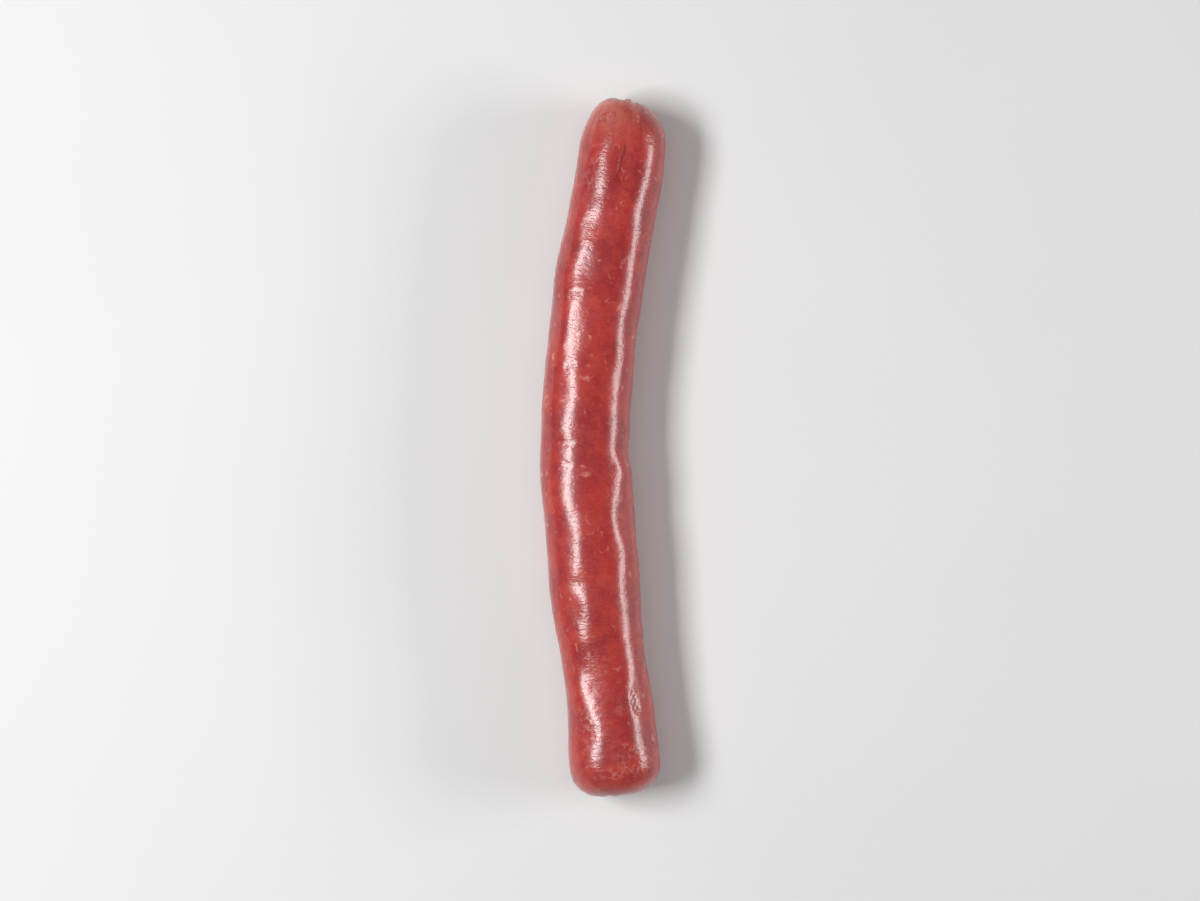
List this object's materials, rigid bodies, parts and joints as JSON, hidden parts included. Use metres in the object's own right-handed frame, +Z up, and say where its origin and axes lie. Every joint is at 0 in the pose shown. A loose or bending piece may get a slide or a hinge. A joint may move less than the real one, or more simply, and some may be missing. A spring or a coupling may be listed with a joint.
{
  "type": "sausage link",
  "caption": "Raw dark red sausage link in a natural casing, gently bent, with pleats and a stub of twisted casing at each end; lies on its side as meat for cooking.",
  "frame": {"origin": "on the surface that the link rests on, under the middle of the link's box", "axes": "+Y along the link towards its longer end, +X across it towards the inside of its bend, +Z up"},
  "size_m": [0.0328, 0.1822, 0.0214],
  "materials": {
    "casing": "moist, glossy natural casing over coarse red meat with small flecks of pale fat"
  },
  "bodies": {
    "root": {"sausage_link": "casing"}
  },
  "joints": []
}
